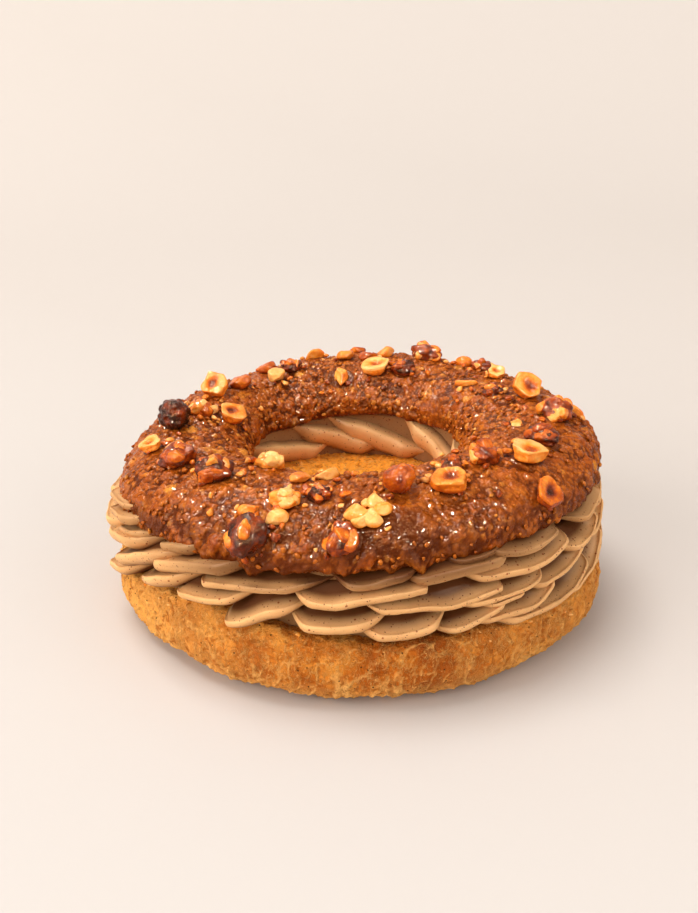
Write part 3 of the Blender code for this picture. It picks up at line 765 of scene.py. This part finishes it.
def make_grit(finish):
    """Chopped nuts in the glaze, each a small chip half sunk in the ring's skin."""
    dice = np.random.default_rng(5)
    directions, faces = icosphere(2)
    parts = []
    noise = Noise(21)
    while len(parts) < GRIT_COUNT:
        angle = dice.uniform(0.0, 360.0)
        over = dice.uniform(-8.0, 188.0)
        point = ring_skin(angle, over)
        if noise(point + 0.5, 0.018) > dice.uniform(-0.1, 0.8):
            continue
        axes = ring_axes(angle, over)
        size = dice.uniform(*GRIT_SIZES) * dice.uniform(0.6, 1.0)
        cuts = chip_planes(dice, 5)
        reach, _ = chipped(directions, cuts)
        spin = dice.uniform(0.0, 2 * np.pi)
        local = directions * reach[:, None] * (size * np.array([1.0, dice.uniform(0.6, 0.9), 0.6]))
        local = local @ spun(spin)
        body = point + axes[2] * (0.0001 + 0.20 * size) + local @ axes
        tone = np.full(len(directions), dice.random() ** 0.7)
        parts.append((body, faces, {"tone": tone, "grain": np.full(len(directions), dice.uniform(0.4, 1.0)),
                                    "pool_and_shade": np.zeros(len(directions))}))
    points, faces, marks = joined(parts)
    return add_piece("ring_grit", points, faces, finish, (), marks)


# Cream

FIN_STEP = 0.0010
FIN_ROOT = 0.0105
FIN_DISH = 0.0010
FIN_BULGE = 0.14  # of a lip's height
FIN_LEAN = 0.60
FIN_LIP_STEPS = 9
LONG_TAPER = 0.15  # ends that taper over more than this part of a fin are pointed; others are round
CREAM_ROUND = 420


def cream_wall(angles):
    """The body of the cream, inside its fins and petals, as a closed section at each angle."""
    low = base_top(angles, CREAM_CORE_RADIUS) - 0.0008
    high = ring_underside(angles, CREAM_CORE_RADIUS) + 0.0006
    outside = [place(angles, CREAM_CORE_RADIUS, blend(low, high, part)) for part in np.linspace(0.0, 1.0, 16)]
    top = [place(angles, radius, ring_underside(angles, radius) + 0.0006)
           for radius in np.linspace(0.083, 0.050, 8)]
    inner_high = ring_underside(angles, CREAM_HOLE_RADIUS) + 0.0006
    inner_low = base_top(angles, CREAM_HOLE_RADIUS) - 0.0008
    inside = [place(angles, CREAM_HOLE_RADIUS, blend(inner_high, inner_low, part))
              for part in np.linspace(0.0, 1.0, 14)]
    bottom = [place(angles, radius, base_top(angles, radius) - 0.0008)
              for radius in np.linspace(0.050, 0.083, 8)]
    return np.stack(outside + top + inside + bottom, axis=1)


def fin_section(lip, tilt, keen):
    """Out and up from a fin's crest for each step along it, and how shaded each part of the section is.

    The section is a dished upper face, a lip that leans in below, and an underside; keen is 1 for a full
    fin and less where it tapers.
    """
    away = np.array([1.0, 0.80, 0.61, 0.44, 0.29, 0.17, 0.08, 0.02])
    upper = FIN_ROOT * tilt * away**1.2 - FIN_DISH * np.sin(np.pi * np.sqrt(away))
    part = np.linspace(0.0, 1.0, FIN_LIP_STEPS)
    keen = keen[:, None]
    lip = lip[:, None]
    lip_out = lip * (FIN_BULGE * np.sin(np.pi * part**0.6) - FIN_LEAN * part**3)
    level = blend(0.35, 1.0, keen) * FIN_ROOT
    out = np.hstack([-level * away, lip_out, -level * (0.55, 1.0)])
    shade = np.concatenate([smooth(0.04, 0.62, away), 0.80 * part**3, [1.0, 1.0]])
    return out, np.hstack([upper * keen, -lip * part - 0.00012, -lip * (1.08, 1.15)]), shade


def taper(part, length):
    """0 at a fin's end and 1 a taper's length away: round over a short length, pointed over a long one."""
    return smooth(0.0, length, part) ** (1.1 if length > LONG_TAPER else 0.5)


def fin_body(fin, outward=1):
    """A fin swept along its crest, from where it grows out of the cream to where it sinks back.

    It stands outside the cream or, with outward as -1, on the wall of the hole.
    """
    root = CREAM_CORE_RADIUS if outward > 0 else CREAM_HOLE_RADIUS
    edge = np.array(fin.edge) * (radians(root), 1.0)
    steps = max(int(np.linalg.norm(np.diff(edge, axis=0), axis=1).sum() / FIN_STEP), 16)
    t = 0.5 - 0.5 * np.cos(np.pi * np.linspace(0.0, 1.0, steps))
    crest = along(edge, t)
    ahead = unit(np.gradient(crest, axis=0))
    swell = taper(t, fin.start) * taper(1.0 - t, fin.end)
    angle = np.degrees(crest[:, 0] / root)
    full = around(CREAM_REACHES, angle) - CREAM_CORE_RADIUS if outward > 0 else PETAL_REACH
    tip = root + outward * blend(-0.0010, full * fin.reach, swell)
    out, up, shade = fin_section(fin.lip * blend(0.10, 1.0, swell), fin.tilt, swell)
    round_it = np.degrees((crest[:, :1] - up * ahead[:, 1:]) / root)
    points = place(round_it, tip[:, None] + outward * out, crest[:, 1:] + up * ahead[:, :1])
    rows, columns = points.shape[:2]
    faces = grid_faces(rows, columns, closed=True)[:-columns]
    caps = [np.arange(columns), np.arange(columns)[::-1] + (rows - 1) * columns]
    way = 1 if outward > 0 else -1
    faces = [face[::way] for face in (*faces, *caps)]
    points = points.reshape(-1, 3)
    return points, faces, {"shade": np.maximum(np.tile(shade, rows), 0.95 * under_ring(points))}


def under_ring(points):
    """How much painted shadow the ring casts on the cream: 1 right under the ring, falling to 0 a little below it,
    strongest in front.
    """
    angle = np.degrees(np.arctan2(points[:, 0], -points[:, 1]))
    below = ring_underside(angle, np.hypot(points[:, 0], points[:, 1])) - points[:, 2]
    return smooth(0.0120, 0.0015, below) * (0.20 + 0.75 * bell(turn_between(angle, 5.0), 48.0))


def side_fins():
    """Rows of fins round the sides and the back, laid like bricks and rising like the ones in front."""
    dice = np.random.default_rng(14)
    fins = []
    for row, (climb, reach) in enumerate(SIDE_FIN_ROWS):
        for spot in np.arange(SIDE_FINS_FROM + 5.0 * (row % 3), SIDE_FINS_TO, SIDE_FIN_PITCH):
            turns = spot + dice.uniform(-2.5, 2.5) + np.linspace(0.0, dice.uniform(27.0, 37.0), 4)
            low = base_top(turns, BASE_RIM_RADIUS) + 0.0015
            high = ring_underside(turns, CREAM_CORE_RADIUS)
            heights = blend(low, high, climb + dice.uniform(-0.03, 0.03) + np.array(SIDE_FIN_CLIMB))
            edge = tuple((float(turn), float(height)) for turn, height in zip(turns, heights))
            lip = dice.uniform(0.0038, 0.0054)
            fins.append(Fin(edge, reach, lip, dice.uniform(0.20, 0.45), 0.3, dice.uniform(0.2, 0.4)))
    return fins


def make_fins(finish):
    points, faces, marks = joined([fin_body(fin) for fin in (*FRONT_FINS, *side_fins())])
    return add_piece("cream_outside", softened(points), faces, finish, ["cream"], marks)


def softened(points):
    """Cream's points pushed a little out of line, as no stroke of it is quite even."""
    noise = Noise(8)
    slow = np.stack([noise(points + 0.2 * k, 0.012) for k in range(3)], axis=-1)
    quick = np.stack([noise(points + 0.3 * k, 0.004) for k in range(3)], axis=-1)
    return points + 0.0007 * slow + 0.00015 * quick


PETALS_ROUND = 11
PETAL_REACH = 0.0050


def make_petals(finish):
    """The body of the cream with broad overlapping strokes on the wall of its hole."""
    angles = np.arange(CREAM_ROUND) * 360.0 / CREAM_ROUND
    wall = cream_wall(angles)
    faces = grid_faces(CREAM_ROUND, wall.shape[1], closed=True)
    parts = [(wall.reshape(-1, 3), faces, {"shade": np.full(wall.shape[0] * wall.shape[1], 0.6)})]
    dice = np.random.default_rng(9)
    for index in range(PETALS_ROUND):
        start = 360.0 * index / PETALS_ROUND + dice.uniform(-6.0, 6.0)
        span = dice.uniform(50.0, 66.0)
        low = base_top(start, CREAM_HOLE_RADIUS) + 0.005
        high = ring_underside(start + span, CREAM_HOLE_RADIUS) + 0.001
        climbs = (0.0, dice.uniform(0.30, 0.45), dice.uniform(0.70, 0.85), 1.06)
        edge = tuple((start + span * k / 3, float(blend(low, high, climb))) for k, climb in enumerate(climbs))
        lip = dice.uniform(0.0095, 0.0125)
        parts.append(fin_body(Fin(edge, dice.uniform(0.8, 1.0), lip, 0.4, 0.25, 0.3), -1))
    points, faces, marks = joined(parts)
    return add_piece("cream_inside", softened(points), faces, finish, (), marks)


# Nuts

def chip_planes(dice, count):
    """Break planes of a chip: unit normals strewn all round and their distances from its middle."""
    normals = unit(dice.normal(size=(count, 3)))
    return np.column_stack([normals, dice.uniform(0.45, 0.8, count)])


def chipped(directions, planes, power=14):
    """How far a unit ball broken along planes reaches, its edges slightly rounded, and how broken it is."""
    lean = np.clip(directions @ planes[:, :3].T, 0.0, None) / planes[:, 3]
    broken = (lean**power).sum(axis=1)
    return (1.0 + broken) ** (-1.0 / power), broken / (1.0 + broken)


def spun(turn):
    """Rotation about Z for rows of points."""
    c, s = np.cos(turn), np.sin(turn)
    return np.array([[c, s, 0.0], [-s, c, 0.0], [0.0, 0.0, 1.0]])


def chunk_nut(dice, toast, detail=4, planes=7):
    """A piece of nut with some of its round skin and some flat broken faces."""
    directions, faces = icosphere(detail)
    noise = Noise(int(dice.integers(1000)))
    reach, broken = chipped(directions, chip_planes(dice, planes), power=24)
    reach = reach * (1.0 + 0.08 * noise(directions, 0.7) + 0.025 * noise(directions, 0.25))
    browning = toast + 0.12 * (0.6 - broken) + 0.14 * noise(directions + 5.0, 0.8)
    points = directions * reach[:, None]
    browning += 0.25 * smooth(0.1, -0.8, points[:, 2])
    return points, faces, {"toast": browning}


def half_nut(dice, toast):
    """Half a hazelnut with its cut face up, broken along its rim, and toasted in its shallow middle."""
    directions, faces = icosphere(5)
    noise = Noise(int(dice.integers(1000)))
    turns = np.arange(6) * 2 * np.pi / 6 + dice.uniform(-0.3, 0.3, 6)
    rim = np.column_stack([np.cos(turns), np.sin(turns), dice.uniform(-0.3, 0.3, 6), dice.uniform(0.64, 0.98, 6)])
    top = np.array([[dice.uniform(-0.15, 0.15), dice.uniform(-0.15, 0.15), 1.0, 0.26]])
    reach, _ = chipped(directions, np.vstack([rim, top]), power=22)
    reach *= 1.0 + 0.07 * noise(directions, 0.6) + 0.03 * noise(directions, 0.25)
    points = directions * reach[:, None]
    face = smooth(0.06, 0.20, points[:, 2])
    off = dice.uniform(-0.12, 0.12, 2)
    across = np.hypot(points[:, 0] - off[0], 1.15 * (points[:, 1] - off[1])) + 0.08 * noise(points, 0.4)
    points[:, 2] -= (0.26 * bell(across, 0.42) + 0.05 * noise(points, 0.25)) * face
    browning = toast + 0.42 * smooth(0.62, 0.12, across) * face + 0.16 * (1.0 - face)
    browning += 0.14 * noise(points + 3.0, 0.5) - 0.08 * face * smooth(0.45, 0.75, across)
    browning += 0.2 * smooth(-0.3, -0.9, points[:, 2])
    return points, faces, {"toast": browning}


def whole_nut(dice, toast):
    """A whole caramelised hazelnut with blunt corners and a lumpy coat."""
    directions, faces = icosphere(5)
    noise = Noise(int(dice.integers(1000)))
    planes = chip_planes(dice, 6)
    planes[:, 3] = dice.uniform(0.76, 0.92, 6)
    reach, _ = chipped(directions, planes)
    lumpy = 0.10 + 0.08 * (toast > 0.6)
    coat = 0.05 * noise(directions, 0.6) + lumpy * noise.lumps(directions, 0.42, 0.7)[0]
    reach = reach + coat + 0.12 * smooth(0.75, 1.0, directions[:, 0]) + 0.02 * noise(directions, 0.15)
    browning = toast + 0.08 + 0.14 * (toast > 0.6) + 0.24 * noise(directions + 2.0, 0.7) + 0.16 * smooth(0.2, -0.9, directions[:, 2])
    return directions * reach[:, None], faces, {"toast": browning}


def curl_nut(dice, toast):
    """A split nut whose swollen halves curl round a caramel middle."""
    parts = []
    for spot, away, size, rise in ((150, 0.50, 0.56, 0.05), (215, 0.52, 0.44, 0.0), (275, 0.50, 0.50, 0.05),
                                   (335, 0.58, 0.40, 0.15), (35, 0.58, 0.44, 0.25), (75, 0.50, 0.30, 0.15)):
        points, faces, marks = chunk_nut(dice, toast + dice.uniform(-0.05, 0.08), detail=4, planes=4)
        turn = radians(spot)
        points = points * size * np.array([1.0, 0.9, 0.85]) @ spun(turn)
        parts.append((points + (away * np.cos(turn), 0.9 * away * np.sin(turn), rise), faces, marks))
    points, faces, marks = chunk_nut(dice, toast + 0.42, detail=4, planes=4)
    parts.append((points * (0.45, 0.45, 0.3) + (0.05, 0.0, -0.15), faces, marks))
    return joined(parts)


def cluster_nut(dice, toast):
    """Chopped pieces of different roast sunk in one lump of dark caramel."""
    directions, faces = icosphere(4)
    noise = Noise(int(dice.integers(1000)))
    lump = 0.70 + 0.14 * noise(directions, 0.7) + 0.16 * noise.lumps(directions, 0.55, 0.8)[0]
    lump += 0.05 * noise(directions, 0.25)
    browning = toast + 0.19 + 0.22 * noise(directions + 1.0, 0.5)
    body = directions * lump[:, None] * np.array([1.05, 0.95, 0.70]) - (0.0, 0.0, 0.08)
    parts = [(body, faces, {"toast": browning})]
    count = int(dice.integers(4, 7))
    for index in range(count):
        size = dice.uniform(0.42, 0.60)
        spot = 2.4 * index + dice.uniform(-0.4, 0.4)
        rise = dice.uniform(-0.15, 0.18) if index else 0.30
        away = dice.uniform(0.40, 0.55) if index else 0.10
        shade = toast + dice.uniform(-0.38, 0.06)
        points, faces, marks = chunk_nut(dice, shade, planes=8)
        stretch = np.array([1.0, dice.uniform(0.55, 0.9), dice.uniform(0.55, 0.85)])
        tip = np.array([[1, 0, 0], [0, 0.8, 0.6], [0, -0.6, 0.8]])
        points = points * stretch * size @ tip @ spun(dice.uniform(0.0, 6.0))
        parts.append((points + (away * np.cos(spot), away * np.sin(spot), rise), faces, marks))
    return joined(parts)


NUT_MAKERS = {"half": half_nut, "whole": whole_nut, "curl": curl_nut, "cluster": cluster_nut}


def nut_body(nut, number):
    dice = np.random.default_rng(100 + number)
    if nut.kind in NUT_MAKERS:
        return NUT_MAKERS[nut.kind](dice, TOAST[nut.colour])
    return chunk_nut(dice, TOAST[nut.colour])


def make_nut(number, nut, finish):
    """Fits a nut's form to its node: the same middle, size, turn and lean, sunk a little in the glaze."""
    name = f"nut_{number:02d}"
    points, faces, marks = nut_body(nut, number)
    low, high = points.min(axis=0), points.max(axis=0)
    points = (points - (low + high) / 2) / (high - low)
    points = points * (np.array(NUT_SHAPES[nut.kind]) * nut.size * NUT_GROWTH)
    node_low, node_high = (np.array(corner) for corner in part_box(name))
    middle = (node_low + node_high) / 2
    axes = ring_axes(*ring_spot(middle))
    lean = radians(nut.lean)
    leaned = np.array([[1, 0, 0], [0, np.cos(lean), np.sin(lean)], [0, -np.sin(lean), np.cos(lean)]])
    points = points @ spun(radians(nut.turn)) @ axes @ leaned
    points += middle - (points.min(axis=0) + points.max(axis=0)) / 2 - NUT_SINK * axes[2]
    return add_piece(f"hazelnut_{number:02d}", points, faces, finish, [name], marks)


BITS_LOOSE = 46


def make_bits(finish):
    """Small chips of nut, most of them fallen round the large ones."""
    dice = np.random.default_rng(63)
    spots = []
    for number, nut in enumerate(NUTS, start=1):
        low, high = (np.array(corner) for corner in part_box(f"nut_{number:02d}"))
        angle, over = ring_spot((low + high) / 2)
        axes = ring_axes(angle, over)
        for _ in range(int(dice.integers(2, 6))):
            turn = dice.uniform(0.0, 2 * np.pi)
            away = nut.size * dice.uniform(0.50, 0.75)
            spots.append(ring_skin(angle, over) + away * (np.cos(turn) * axes[0] + np.sin(turn) * axes[1]))
    for _ in range(BITS_LOOSE):
        spots.append(ring_skin(dice.uniform(0.0, 360.0), dice.uniform(35.0, 150.0)))
    parts = []
    for spot in spots:
        points, faces, marks = chunk_nut(dice, dice.uniform(0.10, 0.75), detail=3, planes=6)
        angle, over = ring_spot(spot)
        size = dice.uniform(0.0008, 0.0022)
        points = points * size * np.array([1.0, dice.uniform(0.5, 0.9), 0.6]) @ spun(dice.uniform(0.0, 6.0))
        axes = ring_axes(angle, over)
        parts.append((ring_skin(angle, over) + (0.0004 + 0.4 * size) * axes[2] + points @ axes, faces, marks))
    points, faces, marks = joined(parts)
    return add_piece("nut_bits", points, faces, finish, (), marks)


CRUMB_COUNT = 60


def make_crumbs(finish):
    """Flakes of crust and nut that fell on the shoulder of the base."""
    dice = np.random.default_rng(31)
    parts = []
    for _ in range(CRUMB_COUNT):
        points, faces, marks = chunk_nut(dice, dice.uniform(-0.1, 0.3), detail=2, planes=5)
        angle = dice.uniform(0.0, 360.0)
        spot = place(angle, *base_side(angle, dice.uniform(10.0, 80.0)))
        size = dice.uniform(0.0006, 0.0014)
        parts.append((spot + size * points * (1.0, 0.8, 0.6), faces, marks))
    points, faces, marks = joined(parts)
    return add_piece("crumbs", points, faces, finish, (), marks)


# Studio

# The side the soft light comes from, and how bright the world is away from it and towards it.
SOFT_LIGHT = (-0.28, 0.12, 0.95)
WORLD_LEVELS = ((0.0, 0.38), (1.0, 0.78))
# Keen lights that show only as glints on what is wet: the side they come from and their strength.
SPARKS = (((-0.45, -0.60, 0.66), 14.0), ((0.40, -0.45, 0.80), 11.0), ((-0.30, 0.35, 0.88), 8.0))

SWEEP_START = 0.8
SWEEP_CURVE = 2.2
SWEEP_SLOPE = 24.0
SWEEP_SIZE = 3.5

CAMERA_PLACE = (0.0, -0.350, 0.197)
CAMERA_DOWN = 22.4
CAMERA_TURN = 0.5
CAMERA_LENS = 37.26


def paper_finish():
    """Pale matt paper, a little paler towards the light."""
    finish = Finish("paper", Specular_IOR_Level=0.1)
    away = finish.node("ShaderNodeVectorMath", {"operation": "DOT_PRODUCT"}, 1, in_0=finish.where,
                       in_1=(1.0, 1.2, 0.0))
    colour = finish.ramp(finish.sum((away, 0.25), (1.0, 0.4)), (0.30, (0.568, 0.528, 0.500)),
                         (0.48, (0.512, 0.463, 0.430)), (0.80, (0.470, 0.424, 0.392)))
    return finish.done(colour, 0.8)


def make_sweep():
    """A sheet of paper that lies flat under the pastry and slopes gently up far behind it."""
    turns = np.radians(np.linspace(0.0, SWEEP_SLOPE, 24))
    lengthwise = [(-SWEEP_SIZE, 0.0)]
    lengthwise += [(SWEEP_START + SWEEP_CURVE * np.sin(t), SWEEP_CURVE * (1 - np.cos(t))) for t in turns]
    last = lengthwise[-1]
    lengthwise.append((last[0] + SWEEP_SIZE * np.cos(turns[-1]), last[1] + SWEEP_SIZE * np.sin(turns[-1])))
    points = [(x, y, z) for y, z in lengthwise for x in (-SWEEP_SIZE, SWEEP_SIZE)]
    faces = [(2 * i, 2 * i + 1, 2 * i + 3, 2 * i + 2) for i in range(len(lengthwise) - 1)]
    mesh = bpy.data.meshes.new("sweep")
    mesh.from_pydata(points, [], faces)
    mesh.shade_smooth()
    mesh.materials.append(paper_finish())
    sweep = bpy.data.objects.new("sweep", mesh)
    bpy.context.scene.collection.objects.link(sweep)


def aimed(name, light, spot):
    """Puts a light at a spot, facing the pastry."""
    lamp = bpy.data.objects.new(name, light)
    lamp.location = spot
    aim = np.array([0.0, 0.0, 0.04]) - np.array(spot)
    lamp.rotation_euler = (atan2(np.hypot(aim[0], aim[1]), -aim[2]), 0.0, atan2(-aim[0], aim[1]))
    bpy.context.scene.collection.objects.link(lamp)
    return lamp


def add_sun(name, spot, strength, width, colour):
    light = bpy.data.lights.new(name, "SUN")
    light.energy = strength
    light.angle = radians(width)
    light.color = colour
    return aimed(name, light, spot)


def light_studio():
    """A large soft light above and to the left, in the world, with a keener one in its middle."""
    world = bpy.data.worlds.new("studio")
    world.use_nodes = True
    nodes = world.node_tree.nodes
    links = world.node_tree.links
    toward = nodes.new("ShaderNodeVectorMath")
    toward.operation = "DOT_PRODUCT"
    toward.inputs[1].default_value = SOFT_LIGHT
    links.new(nodes.new("ShaderNodeTexCoord").outputs["Generated"], toward.inputs[0])
    ramp = nodes.new("ShaderNodeValToRGB")
    for element, (spot, level) in zip(ramp.color_ramp.elements, WORLD_LEVELS):
        element.position = spot
        element.color = (level, 0.94 * level, 0.87 * level, 1.0)
    links.new(toward.outputs["Value"], ramp.inputs[0])
    links.new(ramp.outputs[0], nodes["Background"].inputs["Color"])
    bpy.context.scene.world = world
    add_sun("key", (-0.26, 0.06, 0.96), 2.05, 30.0, (1.0, 0.985, 0.965))
    add_sun("left", (-0.84, -0.44, 0.30), 3.00, 60.0, (1.0, 0.985, 0.965))
    add_sun("right", (0.77, -0.50, 0.40), 1.35, 60.0, (1.0, 0.985, 0.965))
    for number, (spot, strength) in enumerate(SPARKS, start=1):
        spark = add_sun(f"spark_{number}", spot, strength, 5.0, (1.0, 0.82, 0.62))
        spark.visible_diffuse = False


def add_camera():
    lens = bpy.data.cameras.new("camera")
    lens.lens = CAMERA_LENS
    lens.sensor_width = 36.0
    lens.clip_start = 0.01
    camera = bpy.data.objects.new("camera", lens)
    camera.location = CAMERA_PLACE
    camera.rotation_euler = (radians(90.0 - CAMERA_DOWN), 0.0, radians(CAMERA_TURN))
    bpy.context.scene.collection.objects.link(camera)
    bpy.context.scene.camera = camera


def main():
    bpy.context.scene.view_settings.view_transform = "Standard"
    cream = cream_finish()
    glaze = glaze_finish()
    make_base(choux_finish())
    make_fins(cream)
    make_petals(cream)
    make_ring(glaze)
    make_grit(glaze)
    coats = {"pale": 0.15, "gold": 0.22, "amber": 0.26, "dark": 0.24}
    finishes = {colour: nut_finish(f"nut_{colour}", coat) for colour, coat in coats.items()}
    for number, nut in enumerate(NUTS, start=1):
        make_nut(number, nut, finishes[nut.colour])
    make_bits(finishes["gold"])
    make_crumbs(finishes["pale"])
    make_sweep()
    light_studio()
    add_camera()


main()
